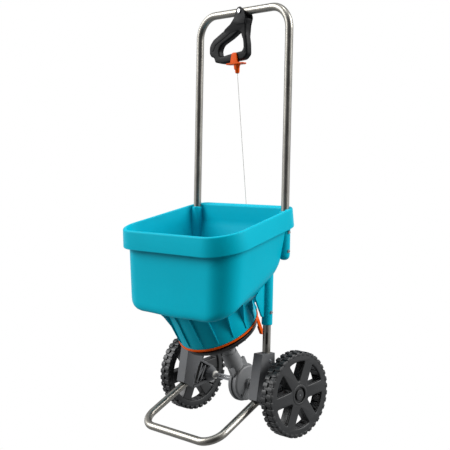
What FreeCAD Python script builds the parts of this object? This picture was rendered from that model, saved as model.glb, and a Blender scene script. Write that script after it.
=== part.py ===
"""Walk-behind broadcast spreader: tub and funnel, two bent tubes, driven spinner, trigger and shutter.

Millimetres, +Z up. X runs along the axle, +Y points at the person who pushes.
Everything is drawn with the axle at Y = 0 and moved by AXLE_Y when it is saved,
so that the origin is the middle of the bottom of the machine.
"""
import FreeCAD, Part
import math
import os

Vector = FreeCAD.Vector

# --- driving dimensions -------------------------------------------------------
WHEEL_R = 107.5            # tyre radius
WHEEL_FACE_X = 204.6       # outer face of each wheel
TREAD_WIDTH = 35.0
AXLE_R = 7.0
AXLE_Z = WHEEL_R
AXLE_Y = 86.6              # places the middle of the whole depth at Y = 0

TUBE_R = 10.0              # both frame tubes
TUBE_WALL = 1.5
HANDLE_X = 159.4           # half the handle's width
HANDLE_Y = -22.0
HANDLE_TOP_Z = 1068.5
HANDLE_END_Z = 452.0
HANDLE_BEND_R = 58.0
STAND_X = 132.0            # half the stand's width
STAND_Y = -49.0
STAND_TOP_Z = 405.0
STAND_FOOT_Y = -231.0
STAND_LEG_SLOPE = 28.0     # degrees above the ground
STAND_BEND_R = 40.0
STAND_CORNER_R = 47.0
STAND_SLOT_Z = (233.5, 258.5)   # ends of the long hole in each leg

RIM_TILT = 14.1            # degrees, front of the rim low
RIM_H = 452.0              # rim plane above the axle, along its own normal
RIM_FRONT = (-175.6, 208.4)   # (depth position, half width)
RIM_REAR = (119.7, 178.0)
SKIRT_H = 46.0
SKIRT_FLARE = 9.0
SKIRT_INSET = 15.0
SKIRT_REAR = (-10.0, -9.0)  # the skirt comes down straight at the rear
HOPPER_WALL = 3.0

SPIN_TILT = 30.0           # degrees, the spinner axis leans forward through the axle
NECK_R = 106.0
NECK_FLOOR_S = 182.5       # underside of the neck floor along the spinner axis
NECK_TOP_S = 248.0         # where the neck meets the tub's underside, on the axis
NECK_TOP_SLOPE = -0.327    # that edge rises towards the front
BODY_LOW_S = 294.0         # lower edge of the tub
RING_R = 107.5
SPINNER_R = 99.0
SPINNER_S = 150.0
SHAFT_R = 4.0

RUN_FIT = 0.05             # radial clearance of running fits
GAP = 0.4                  # clearance between parts that pass each other

GEAR_MODULE = 1.25
PINION_TEETH = 10
CROWN_TEETH = 44
GEARBOX_R = 50.0

TRIGGER_TRAVEL = 20.0      # degrees
SHUTTER_STROKE = 21.5

PIVOT = Vector(0, HANDLE_Y, HANDLE_TOP_Z)       # trigger pivot
CLIP_X = -17.0
CORD_TOP = Vector(CLIP_X, HANDLE_Y, 916.0)      # centre of the cord's ball end
CORD_LOW_X = -8.0
CORD_R = 0.75
LEVER_PIVOT = (116.1, 152.2)                    # (depth, height) in the spinner frame
LEVER_ARM = 29.9                                # finger that moves the shutter plate
LEVER_REACH = 24.75                             # fork that the cord pulls
LEVER_REST = 21.1                               # degrees that fork and finger lean back at rest

X_AXIS = Vector(1, 0, 0)
Y_AXIS = Vector(0, 1, 0)
Z_AXIS = Vector(0, 0, 1)


# --- helpers ------------------------------------------------------------------
def box(x0, x1, y0, y1, z0, z1):
    return Part.makeBox(x1 - x0, y1 - y0, z1 - z0, Vector(x0, y0, z0))


def cyl(radius, start, end):
    start = Vector(*start)
    run = Vector(*end) - start
    return Part.makeCylinder(radius, run.Length, start, run)


def cone(r0, r1, start, end):
    start = Vector(*start)
    run = Vector(*end) - start
    return Part.makeCone(r0, r1, run.Length, start, run)


def tube(r_out, r_in, start, end):
    return cyl(r_out, start, end).cut(cyl(r_in, start, end))


def fuse(shapes):
    body = shapes[0]
    if len(shapes) > 1:
        body = body.multiFuse(list(shapes[1:]))
    return body.removeSplitter()


def plate_x(points, x0, x1):
    """A plate between two X positions, from (y, z) corners."""
    corners = [Vector(x0, y, z) for y, z in points]
    wire = Part.makePolygon(corners + [corners[0]])
    return Part.Face(wire).extrude(Vector(x1 - x0, 0, 0))


def plate_y(points, y0, y1):
    """A plate between two Y positions, from (x, z) corners."""
    corners = [Vector(x, y0, z) for x, z in points]
    wire = Part.makePolygon(corners + [corners[0]])
    return Part.Face(wire).extrude(Vector(0, y1 - y0, 0))


def rounded(points, radii):
    """The edges of a path or, when closed, an outline, with an arc at each inner corner."""
    closed = points[0].isEqual(points[-1], 1e-6)
    corners = points[:-1] if closed else points
    count = len(corners)
    cuts = []
    for index in range(count):
        if not closed and index in (0, count - 1):
            cuts.append((corners[index], None, corners[index]))
            continue
        here = corners[index]
        back = (corners[index - 1] - here).normalize()
        ahead = (corners[(index + 1) % count] - here).normalize()
        half = back.getAngle(ahead) / 2
        radius = radii[index]
        reach = radius / math.tan(half)
        middle = (back + ahead).normalize()
        crown = here + middle * (radius / math.sin(half) - radius)
        cuts.append((here + back * reach, crown, here + ahead * reach))
    edges = []
    for index in range(count):
        start, crown, end = cuts[index]
        if crown is not None:
            edges.append(Part.Arc(start, crown, end).toShape())
        if closed or index < count - 1:
            following = cuts[(index + 1) % count][0]
            if (following - end).Length > 1e-6:
                edges.append(Part.LineSegment(end, following).toShape())
    return edges


def pipe(points, radii, radius):
    """A round bar along straight runs joined by tangent arcs."""
    runs = []
    for edge in rounded(points, radii):
        start = edge.valueAt(edge.FirstParameter)
        heading = edge.tangentAt(edge.FirstParameter)
        if isinstance(edge.Curve, Part.Circle):
            section = Part.Face(Part.Wire(Part.makeCircle(radius, start, heading)))
            turn = math.degrees(edge.LastParameter - edge.FirstParameter)
            runs.append(section.revolve(edge.Curve.Center, edge.Curve.Axis, turn))
        else:
            runs.append(Part.makeCylinder(radius, edge.Length, start, heading))
    return fuse(runs)


def leaning(shape, degrees):
    """Tip a shape, drawn about the axle line, forward about the axle."""
    tipped = shape.copy()
    tipped.rotate(Vector(0, 0, 0), X_AXIS, degrees)
    tipped.translate(Vector(0, 0, AXLE_Z))
    return tipped


def spin_frame(shape):
    return leaning(shape, SPIN_TILT)


def spin_point(x, depth, height):
    tilt = math.radians(SPIN_TILT)
    return Vector(x, depth * math.cos(tilt) - height * math.sin(tilt),
                  AXLE_Z + depth * math.sin(tilt) + height * math.cos(tilt))


def cord_low():
    """Centre of the lever's cord pin at rest."""
    pivot = spin_point(CORD_LOW_X, *LEVER_PIVOT)
    rest = math.radians(LEVER_REST)
    return pivot + Vector(0, LEVER_REACH * math.cos(rest), -LEVER_REACH * math.sin(rest))


def save(name, shape):
    shape = shape.copy()
    shape.translate(Vector(0, AXLE_Y, 0))
    shape.exportStep("parts/" + name + ".step")
    limits = shape.BoundBox
    print("%-22s solids %2d valid %s volume %9.0f  x %7.1f %7.1f  y %7.1f %7.1f  z %7.1f %7.1f" % (
        name, len(shape.Solids), shape.isValid(), shape.Volume, limits.XMin, limits.XMax,
        limits.YMin, limits.YMax, limits.ZMin, limits.ZMax))


def pan_screw(head, direction, length, shank_r=2.0, head_r=4.5, head_h=2.6):
    """A pan-head screw, from the underside of its head."""
    way = Vector(*direction).normalize()
    seat = Vector(*head)
    top = seat + way * head_h
    screw = cyl(shank_r, seat - way * length, seat)
    screw = screw.fuse(cone(head_r, head_r * 0.72, seat, top))
    return screw.cut(cyl(head_r * 0.35, top - way * 1.4, top)).removeSplitter()


# --- frame tubes --------------------------------------------------------------
def handle_tube():
    points = [Vector(-HANDLE_X, HANDLE_Y, HANDLE_END_Z), Vector(-HANDLE_X, HANDLE_Y, HANDLE_TOP_Z),
              Vector(HANDLE_X, HANDLE_Y, HANDLE_TOP_Z), Vector(HANDLE_X, HANDLE_Y, HANDLE_END_Z)]
    bends = [0, HANDLE_BEND_R, HANDLE_BEND_R, 0]
    body = pipe(points, bends, TUBE_R).cut(pipe(points, bends, TUBE_R - TUBE_WALL))
    bolt_hole = cyl(3.1, (0, HANDLE_Y - 20, HANDLE_TOP_Z), (0, HANDLE_Y + 20, HANDLE_TOP_Z))
    cuts = [bolt_hole]
    for side in (-1, 1):
        for z in UPPER_SCREW_Z:
            cuts.append(cyl(2.1, (side * HANDLE_X, HANDLE_Y, z), (side * (HANDLE_X + 20), HANDLE_Y, z)))
    return body.cut(cuts)


def stand_points():
    bend_z = TUBE_R + (STAND_Y - STAND_FOOT_Y) * math.tan(math.radians(STAND_LEG_SLOPE))
    right = [Vector(STAND_X, STAND_Y, STAND_TOP_Z), Vector(STAND_X, STAND_Y, bend_z),
             Vector(STAND_X, STAND_FOOT_Y, TUBE_R)]
    left = [Vector(-p.x, p.y, p.z) for p in reversed(right)]
    return right + left


def stand_tube():
    points = stand_points()
    bends = [0, STAND_BEND_R, STAND_CORNER_R, STAND_CORNER_R, STAND_BEND_R, 0]
    body = pipe(points, bends, TUBE_R).cut(pipe(points, bends, TUBE_R - TUBE_WALL))
    cuts = []
    for side in (-1, 1):
        for z in (LOWER_SCREW_Z,) + BRACKET_SCREW_Z:
            cuts.append(cyl(2.1, (side * STAND_X, STAND_Y, z), (side * (STAND_X + 20), STAND_Y, z)))
        reach = side * 12
        slot = [cyl(2.4, (side * STAND_X, STAND_Y, z), (side * STAND_X + reach, STAND_Y - 12, z))
                for z in STAND_SLOT_Z]
        flat = box(-2.4, 2.4, 0, 17, STAND_SLOT_Z[0], STAND_SLOT_Z[1])
        flat.rotate(Vector(0, 0, 0), Z_AXIS, 180 + side * 45)
        flat.translate(Vector(side * STAND_X, STAND_Y, 0))
        cuts += slot + [flat]
    return body.cut(cuts)


# --- hopper -------------------------------------------------------------------
UPPER_SLEEVE_R = 14.5
UPPER_SLEEVE_LOW = 441.0
UPPER_SLEEVE_TOP = 548.0
UPPER_SCREW_Z = (464.0, 511.0)
LOWER_SLEEVE_R = 13.5
LOWER_SLEEVE_LOW = 279.0
LOWER_SLEEVE_TOP = 418.0
LOWER_SCREW_Z = 311.0
BRACKET_SCREW_Z = (150.0, 190.0)
OUTLET_X = (14.0, 44.0)        # outlet window, mirrored to both sides
OUTLET_DEPTH = (-60.0, -42.0)
FINS = 16


def trapezoid(front, rear, corner_front, corner_rear, height, grow=0.0):
    """A rounded outline that is wider at the front, grown outwards by an offset."""
    front_y = front[0] - grow
    front_x = front[1] + grow
    rear_y = rear[0] + grow
    rear_x = rear[1] + grow
    corners = [Vector(-front_x, front_y, height), Vector(front_x, front_y, height),
               Vector(rear_x, rear_y, height), Vector(-rear_x, rear_y, height)]
    radii = [max(corner_front + grow, 4.0), max(corner_front + grow, 4.0),
             max(corner_rear + grow, 4.0), max(corner_rear + grow, 4.0)]
    return Part.Wire(rounded(corners + [corners[0]], radii))


def rim_wire(height, grow, rear_grow=0.0, side_grow=0.0, corner_rear=42.0):
    rear = (RIM_REAR[0] + rear_grow, RIM_REAR[1] + side_grow)
    wire = trapezoid(RIM_FRONT, rear, 70.0, corner_rear, height, grow)
    return leaning(wire, RIM_TILT)


def body_low_wire(grow, lift=0.0):
    wire = trapezoid((-124.0, 190.0), (146.0, 158.0), 60.0, 40.0, BODY_LOW_S + lift, grow)
    return spin_frame(wire)


def neck_wire(radius, height, slope=0.0):
    """A circle in eight arcs that line up with the eight edges of a rounded outline."""
    breaks = [215, 235, 305, 325, 395, 415, 485, 505, 575]
    edges = []
    for low, high in zip(breaks, breaks[1:]):
        angles = [math.radians(a) for a in (low, (low + high) / 2, high)]
        points = [Vector(radius * math.cos(a), radius * math.sin(a), height + slope * radius * math.sin(a))
                  for a in angles]
        edges.append(Part.Arc(*points).toShape())
    return spin_frame(Part.Wire(edges))


def tub_solid(grow):
    """The tub and funnel without rim or sleeves; a negative grow gives the inside."""
    lift = -0.8 * grow
    top = rim_wire(RIM_H, -SKIRT_INSET + 9 + grow, -14.0)
    shoulder = rim_wire(RIM_H - SKIRT_H, -SKIRT_INSET + 6 + grow, -18.0)
    low = body_low_wire(grow, lift)
    throat = neck_wire(NECK_R + 2 + grow, NECK_TOP_S + lift, NECK_TOP_SLOPE)
    upper = Part.makeLoft([top, shoulder], True, True)
    lower = Part.makeLoft([shoulder, low], True, True)
    funnel = Part.makeLoft([low, throat], True, True)
    neck = Part.makeLoft([throat, neck_wire(NECK_R - 1 + grow, NECK_FLOOR_S)], True, True)
    return fuse([upper, lower, funnel, neck])


def fin(index):
    """One upright fin that stiffens the corner between the neck and the tub's underside."""
    turn = 360.0 / FINS * index
    angle = math.radians(turn)
    across = math.cos(angle)
    along = math.sin(angle)
    wall = min(174.0 / max(abs(across), 1e-6), (124.0 if along < 0 else 146.0) / max(abs(along), 1e-6))
    root = NECK_TOP_S + NECK_TOP_SLOPE * (NECK_R + 2) * along
    reach = NECK_R + 2 + 0.36 * (wall - NECK_R - 2)
    under = root + 0.36 * (BODY_LOW_S - root)
    corners = [(NECK_R - 2.2, 190), (NECK_R + 1.4, 190), (NECK_R + 3.5, 212), ((NECK_R + reach) / 2 + 1, under - 26),
               (reach, under + 1.2), (NECK_R + 1, root + 1.2), (NECK_R - 1, root - 8)]
    points = [Vector(r, -1.5, h) for r, h in corners]
    rib = Part.Face(Part.makePolygon(points + [points[0]])).extrude(Vector(0, 3, 0))
    rib.rotate(Vector(0, 0, 0), Z_AXIS, turn)
    return spin_frame(rib)


def hopper():
    outer = tub_solid(0.0)
    skirt = Part.makeLoft([rim_wire(RIM_H, 0.0), rim_wire(RIM_H - SKIRT_H, SKIRT_FLARE, *SKIRT_REAR)], True, True)
    skirt_inside = Part.makeLoft([rim_wire(RIM_H - HOPPER_WALL, -HOPPER_WALL),
                                  rim_wire(RIM_H - SKIRT_H - 1, SKIRT_FLARE - HOPPER_WALL, *SKIRT_REAR)],
                                 True, True)
    hollow = tub_solid(-HOPPER_WALL)
    sleeves = []
    bores = []
    for side in (-1, 1):
        x = side * HANDLE_X
        sleeves.append(cyl(UPPER_SLEEVE_R, (x, HANDLE_Y, UPPER_SLEEVE_LOW),
                           (x, HANDLE_Y, UPPER_SLEEVE_TOP)))
        bores.append(cyl(TUBE_R + 0.1, (x, HANDLE_Y, HANDLE_END_Z), (x, HANDLE_Y, 700)))
        x = side * STAND_X
        sleeves.append(cyl(LOWER_SLEEVE_R, (x, STAND_Y, LOWER_SLEEVE_LOW), (x, STAND_Y, LOWER_SLEEVE_TOP)))
        web = [(-56, 300), (-70, 300), (-97, 352), (-90, 380), (-60, 400), (-50, 400)]
        sleeves.append(plate_x(web, x - 2.5, x + 2.5))
        bores.append(cyl(TUBE_R + 0.1, (x, STAND_Y, LOWER_SLEEVE_LOW - 1), (x, STAND_Y, STAND_TOP_Z)))
    ribs = [fin(index) for index in range(FINS)]
    lugs = []
    for side in (-1, 1):
        lug = plate_x([(102, 232), (102, 188), (109.5, 184), (109.5, 150), (123, 150), (123, 160), (112, 234)],
                      side * 19, side * 23)
        lugs.append(spin_frame(lug))
    walls = fuse([outer, skirt.cut(skirt_inside)] + sleeves + ribs + lugs)
    walls = walls.cut(hollow)
    floor = spin_frame(cyl(NECK_R - 1.5, (0, 0, NECK_FLOOR_S), (0, 0, NECK_FLOOR_S + 3)))
    inner_sleeves = [cyl(UPPER_SLEEVE_R, (side * HANDLE_X, HANDLE_Y, UPPER_SLEEVE_LOW),
                         (side * HANDLE_X, HANDLE_Y, UPPER_SLEEVE_TOP)) for side in (-1, 1)]
    inner_lower = [cyl(LOWER_SLEEVE_R, (side * STAND_X, STAND_Y, LOWER_SLEEVE_TOP - 60),
                       (side * STAND_X, STAND_Y, LOWER_SLEEVE_TOP)) for side in (-1, 1)]
    body = fuse([walls, floor] + inner_sleeves + inner_lower)
    cuts = list(bores)
    for side in (-1, 1):
        near, far = sorted((side * OUTLET_X[0], side * OUTLET_X[1]))
        cuts.append(spin_frame(box(near, far, OUTLET_DEPTH[0], OUTLET_DEPTH[1],
                                   NECK_FLOOR_S - 1, NECK_FLOOR_S + 4)))
        for z in UPPER_SCREW_Z:
            cuts.append(cyl(2.1, (side * HANDLE_X, HANDLE_Y, z), (side * (HANDLE_X + 17), HANDLE_Y, z)))
        cuts.append(cyl(2.1, (side * STAND_X, STAND_Y, LOWER_SCREW_Z),
                        (side * (STAND_X + 17), STAND_Y, LOWER_SCREW_Z)))
    cuts.append(spin_frame(cyl(9.1, (0, 0, NECK_FLOOR_S - 1), (0, 0, NECK_FLOOR_S + 4))))
    cuts.append(spin_frame(box(-6, 6, 97, 115, NECK_FLOOR_S - 1, NECK_FLOOR_S + 6)))
    depth, height = LEVER_PIVOT
    cuts.append(spin_frame(cyl(2.1, (-30, depth, height), (30, depth, height))))
    for tool in cuts:
        body = body.cut(tool)
    return body.removeSplitter()


# --- outlet, shutter and lever ------------------------------------------------
PLATE_S = 180.0
PLATE_T = 2.2
PLATE_X = 55.0
PLATE_DEPTH = (-80.0, 50.0)
TAB_X = 10.0
TAB_END = 113.0
SPRING_X = 6.5
SPRING_TURNS = 3.25
SPRING_PITCH = 1.7
SPRING_COIL_R = 7.2
SPRING_WIRE_R = 0.6


def outlet_ring():
    body = cyl(RING_R, (0, 0, 178), (0, 0, NECK_FLOOR_S))
    front = PLATE_DEPTH[0] - GAP
    rear = PLATE_DEPTH[1] + SHUTTER_STROKE + GAP
    channel = box(-PLATE_X - GAP, PLATE_X + GAP, front, rear, PLATE_S - GAP, NECK_FLOOR_S + 1)
    slot = box(-TAB_X - GAP, TAB_X + GAP, 0, RING_R + 5, PLATE_S - GAP, NECK_FLOOR_S + 1)
    notch = box(-TAB_X - GAP, TAB_X + GAP, 97, RING_R + 5, 177, NECK_FLOOR_S + 1)
    cuts = [channel, slot, notch, cyl(9.1, (0, 0, 177), (0, 0, 184))]
    for side in (-1, 1):
        near, far = sorted((side * OUTLET_X[0], side * OUTLET_X[1]))
        cuts.append(box(near, far, OUTLET_DEPTH[0], OUTLET_DEPTH[1], 177, 184))
    return spin_frame(body.cut(cuts))


def shutter_plate():
    """Sliding plate, drawn open and then moved back to its closed place."""
    top = PLATE_S + PLATE_T
    body = box(-PLATE_X, PLATE_X, PLATE_DEPTH[0], PLATE_DEPTH[1], PLATE_S, top)
    tab = box(-TAB_X, TAB_X, PLATE_DEPTH[1], TAB_END, PLATE_S, top)
    body = body.fuse(tab)
    window_at = LEVER_PIVOT[0] + LEVER_ARM * math.sin(math.radians(LEVER_REST)) - SHUTTER_STROKE
    cuts = [box(-4.5, 4.5, window_at - 4.0, window_at + 4.0, PLATE_S - 1, top + 1)]
    slot = box(-9.5, 9.5, -SHUTTER_STROKE, 0, PLATE_S - 1, top + 1)
    cuts += [slot, cyl(9.5, (0, 0, PLATE_S - 1), (0, 0, top + 1)),
             cyl(9.5, (0, -SHUTTER_STROKE, PLATE_S - 1), (0, -SHUTTER_STROKE, top + 1))]
    for side in (-1, 1):
        near, far = sorted((side * OUTLET_X[0], side * OUTLET_X[1]))
        cuts.append(box(near, far, OUTLET_DEPTH[0], OUTLET_DEPTH[1], PLATE_S - 1, top + 1))
    plate = body.cut(cuts).removeSplitter()
    plate.translate(Vector(0, SHUTTER_STROKE, 0))
    return spin_frame(plate)


def bar_x(start, end, half, x0, x1):
    """A flat bar with round ends between two (y, z) points, square to X."""
    a = Vector(0, *start)
    b = Vector(0, *end)
    side = (b - a).cross(X_AXIS).normalize() * half
    corners = [(p.y, p.z) for p in (a + side, b + side, b - side, a - side)]
    ends = [cyl(half, (x0, p.y, p.z), (x1, p.y, p.z)) for p in (a, b)]
    return fuse([plate_x(corners, x0, x1)] + ends)


def shutter_lever():
    pivot = spin_point(0, *LEVER_PIVOT)
    rest = math.radians(LEVER_REST)
    tip = spin_point(0, LEVER_PIVOT[0] + LEVER_ARM * math.sin(rest),
                     LEVER_PIVOT[1] + LEVER_ARM * math.cos(rest))
    start = (pivot.y, pivot.z)
    boss = cyl(6.0, (-18.6, pivot.y, pivot.z), (18.6, pivot.y, pivot.z))
    finger = bar_x(start, (tip.y, tip.z), 3.6, -4.0, 4.0)
    low = cord_low()
    fork = [bar_x(start, (low.y, low.z), 4.5, low.x + x0, low.x + x0 + 3) for x0 in (-6.5, 3.0)]
    tail = bar_x(start, (58.5, 232.0), 4.5, 14.6, 18.6)
    thumb = bar_x((50.0, 248.0), (58.5, 232.0), 4.5, 10.0, 18.6)
    body = fuse([boss, finger, tail, thumb] + fork)
    holes = [cyl(2.0 + RUN_FIT, (-30, pivot.y, pivot.z), (30, pivot.y, pivot.z)),
             cyl(1.5, (low.x - 7, low.y, low.z), (low.x + 7, low.y, low.z))]
    return body.cut(holes)


def lever_pin():
    pivot = spin_point(0, *LEVER_PIVOT)
    pin = cyl(2.0, (-25, pivot.y, pivot.z), (23, pivot.y, pivot.z))
    return pin.fuse(cyl(4.0, (23.1, pivot.y, pivot.z), (25, pivot.y, pivot.z))).fuse(
        cyl(2.0, (22, pivot.y, pivot.z), (24, pivot.y, pivot.z))).removeSplitter()


def lever_spring():
    """Torsion spring round the lever's boss: close turns of wire drawn as short chords."""
    pivot = spin_point(0, *LEVER_PIVOT)
    steps = 16
    points = []
    for k in range(int(SPRING_TURNS * steps) + 1):
        angle = 2 * math.pi * k / steps
        points.append(Vector(SPRING_X + SPRING_PITCH * k / steps, pivot.y + SPRING_COIL_R * math.cos(angle),
                             pivot.z + SPRING_COIL_R * math.sin(angle)))
    links = [cyl(SPRING_WIRE_R, a, b) for a, b in zip(points, points[1:])]
    joints = [Part.makeSphere(SPRING_WIRE_R, point) for point in points]
    return fuse(links + joints)


def cord_pin():
    low = cord_low()
    pin = cyl(1.45, (low.x - 7.5, low.y, low.z), (low.x + 7.0, low.y, low.z))
    heads = [cyl(2.6, (low.x + a, low.y, low.z), (low.x + b, low.y, low.z)) for a, b in ((-8.1, -6.7), (6.2, 7.6))]
    return fuse([pin] + heads)


# --- cord ---------------------------------------------------------------------
BALL_R = 2.5
EYE_R = 4.7                # outside of the ring at the cord's lower end
EYE_HOLE_R = 3.4
EYE_LIFT = 1.35            # the ring's middle sits above and behind the pin at rest
EYE_BACK = 0.83
BARREL = (5.0, 14.0)       # crimped barrel, measured up the cord from the ring's middle


def eye_centre():
    low = cord_low()
    way = (CORD_TOP - low).normalize()
    return low + way * EYE_LIFT + Vector(0, EYE_BACK, 0)


def cord_up():
    return (CORD_TOP - eye_centre()).normalize()


def pull_cord():
    up = cord_up()
    return cyl(CORD_R, eye_centre() + up * (BARREL[1] - 6), CORD_TOP - up * (BALL_R - 0.5))


def cord_ball():
    up = cord_up()
    ball = Part.makeSphere(BALL_R, CORD_TOP)
    return ball.cut(cyl(CORD_R, CORD_TOP - up * 4, CORD_TOP - up * (BALL_R - 0.5)))


def cord_eye():
    """A ring for the lever's cord pin with a barrel crimped on the cord."""
    up = cord_up()
    centre = eye_centre()
    half = 1.2
    ring = cyl(EYE_R, (centre.x - half, centre.y, centre.z), (centre.x + half, centre.y, centre.z))
    barrel = cyl(1.7, centre + up * (EYE_R - 0.8), centre + up * BARREL[1])
    hole = cyl(EYE_HOLE_R, (centre.x - 3, centre.y, centre.z), (centre.x + 3, centre.y, centre.z))
    socket = cyl(CORD_R, centre + up * (BARREL[1] - 6), centre + up * (BARREL[1] + 1))
    return fuse([ring, barrel]).cut(hole).cut(socket)


# --- trigger ------------------------------------------------------------------
TRIGGER_T = 20.0
EAR_T = 4.0


def from_pivot(points):
    return [(PIVOT.x + x, PIVOT.z + z) for x, z in points]


def trigger_grip():
    """Squeeze loop: two ears straddle the handle tube, the loop hangs below it."""
    outline = [(-28, -26), (-101, -64), (-114, -79), (-114.7, -100), (-108, -108), (-97, -112),
               (-92, -124), (-66, -130), (-40, -127), (12, -123), (26, -112), (24, -83), (18, -52),
               (19, -32), (23, -16), (-4, -16), (-10, -24)]
    opening = [(-4, -48), (5, -59), (12, -90), (6, -101), (-33, -105), (-74, -111), (-78, -95),
               (-71, -81), (-34, -65)]
    y0 = HANDLE_Y - TRIGGER_T / 2
    y1 = HANDLE_Y + TRIGGER_T / 2
    loop = plate_y(from_pivot(outline), y0, y1).cut(plate_y(from_pivot(opening), y0 - 1, y1 + 1))
    ear = [(2, 12), (-8, 10), (-14, -1), (-20, -16), (-28, -26), (-10, -34), (19, -34), (23, -16), (17, -2)]
    ears = [plate_y(from_pivot(ear), HANDLE_Y - TUBE_R - 0.8 - EAR_T, HANDLE_Y - TUBE_R - 0.8),
            plate_y(from_pivot(ear), HANDLE_Y + TUBE_R + 0.8, HANDLE_Y + TUBE_R + 0.8 + EAR_T)]
    root = [(-22, -26), (-10, -34), (19, -34), (21, -24), (-10, -24)]
    bridge = plate_y(from_pivot(root), HANDLE_Y - TUBE_R - 2, HANDLE_Y + TUBE_R + 2)
    body = fuse([loop, bridge] + ears)
    bolt = cyl(3.0 + RUN_FIT, (0, HANDLE_Y - 30, PIVOT.z), (0, HANDLE_Y + 30, PIVOT.z))
    stem = cyl(6.1, (CLIP_X, HANDLE_Y, PIVOT.z - 145), (CLIP_X, HANDLE_Y, PIVOT.z - 112))
    return body.cut([bolt, stem]).removeSplitter()


def trigger_bolt():
    y0 = HANDLE_Y - TUBE_R - 0.8 - EAR_T - 0.2
    y1 = HANDLE_Y + TUBE_R + 0.8 + EAR_T + 8
    shank = cyl(3.0, (0, y0, PIVOT.z), (0, y1, PIVOT.z))
    head = cyl(5.2, (0, y0 - 2.4, PIVOT.z), (0, y0, PIVOT.z))
    return shank.fuse(head).removeSplitter()


def trigger_nut():
    y0 = HANDLE_Y + TUBE_R + 0.8 + EAR_T + 0.2
    corners = [(5.8 * math.cos(math.radians(60 * k)), PIVOT.z + 5.8 * math.sin(math.radians(60 * k)))
               for k in range(6)]
    nut = plate_y(corners, y0, y0 + 5)
    return nut.cut(cyl(3.0, (0, y0 - 1, PIVOT.z), (0, y0 + 9, PIVOT.z)))


def cord_clip():
    """Clip under the loop: wings and a front tongue, and a socket stem for the ball end."""
    x, y = CLIP_X, HANDLE_Y
    top = PIVOT.z - 130.4
    wings = box(x - 31, x + 31, y - 8, y + 8, top - 3.5, top)
    tongue = plate_y([(x - 14.5, top), (x - 7.5, top + 35), (x + 7.5, top + 35), (x + 14.5, top)],
                     y - TRIGGER_T / 2 - 4.2, y - TRIGGER_T / 2 - 0.2)
    shelf = box(x - 14.5, x + 14.5, y - TRIGGER_T / 2 - 4.2, y, top - 3.5, top)
    stem = cyl(6.0, (x, y, CORD_TOP.z - 4), (x, y, PIVOT.z - 114))
    body = fuse([wings, tongue, shelf, stem])
    socket = [Part.makeSphere(BALL_R + 0.3, CORD_TOP),
              cyl(BALL_R + 0.3, CORD_TOP, (x, y, CORD_TOP.z + 12)),
              cone(1.4, 4.6, (x, y, CORD_TOP.z), (x, y, CORD_TOP.z - 4.05))]
    return body.cut(socket)


# --- chassis ------------------------------------------------------------------
BRACKET_X = (118.0, 147.0)
BOSS_X = (100.0, 152.0)


def bracket(side):
    """Axle bracket: a column clamped on the stand tube, a ribbed web and the axle boss."""
    near, far = BRACKET_X
    outline = [(-79, 209), (-34, 209), (-32, 150), (12, 127), (20, 107), (8, 90), (-60, 76), (-97, 97)]
    column = plate_x([(-79, 209), (-34, 209), (-36, 150), (-60, 110), (-64, 78), (-97, 97)], near, far)
    web = plate_x(outline, 129.5, 135.5)
    strips = [plate_x([(-34, 209), (-32, 150), (12, 127), (10, 122), (-38, 147), (-40, 209)], near, far),
              plate_x([(-62, 82), (-60, 76), (8, 90), (4, 96)], near, far)]
    for k in range(4):
        y = -45 + 13 * k
        strips.append(plate_x([(y, 146 - 6 * k), (y + 4, 144 - 6 * k), (y - 14, 86 + 3 * k),
                               (y - 18, 85 + 3 * k)], near + 2, far - 2))
    for k in range(2):
        y = -52 + 24 * k
        strips.append(plate_x([(y, 92 + 4 * k), (y + 5, 91 + 4 * k), (y + 34, 128 - 4 * k),
                               (y + 29, 130 - 4 * k)], near + 4, far - 4))
    boss = cyl(20.0, (near - 3, 0, AXLE_Z), (BOSS_X[1], 0, AXLE_Z)).fuse(
        cone(11.5, 20.0, (BOSS_X[0], 0, AXLE_Z), (near - 3, 0, AXLE_Z)))
    body = fuse([column, web, boss] + strips)
    points = stand_points()[:3]
    bore = pipe(points, [0, STAND_BEND_R, 0], TUBE_R + 0.1)
    cuts = [bore, cyl(9.0, (BOSS_X[0] - 1, 0, AXLE_Z), (BOSS_X[1] + 1, 0, AXLE_Z))]
    for z in BRACKET_SCREW_Z:
        cuts.append(cyl(2.1, (STAND_X, STAND_Y, z), (far + 5, STAND_Y, z)))
    cuts.append(spin_frame(cyl(2.6, (90, -4, BRIDGE_S + 8), (far + 5, -4, BRIDGE_S + 8))))
    body = body.cut(cuts).removeSplitter()
    if side < 0:
        body = body.mirror(Vector(0, 0, 0), X_AXIS)
    return body


def axle_bush(side):
    a, b = side * (BOSS_X[0] - 2), side * (BOSS_X[1] + 2)
    body = tube(8.95, AXLE_R + RUN_FIT, (side * (BOSS_X[0] + 0.2), 0, AXLE_Z), (b, 0, AXLE_Z))
    flange = tube(10.8, AXLE_R + RUN_FIT, (a, 0, AXLE_Z), (side * (BOSS_X[0] - 0.1), 0, AXLE_Z))
    link = tube(8.95, AXLE_R + RUN_FIT, (a, 0, AXLE_Z), (side * (BOSS_X[0] + 1), 0, AXLE_Z))
    return fuse([body, flange, link])


BRIDGE_S = 118.0


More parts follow.
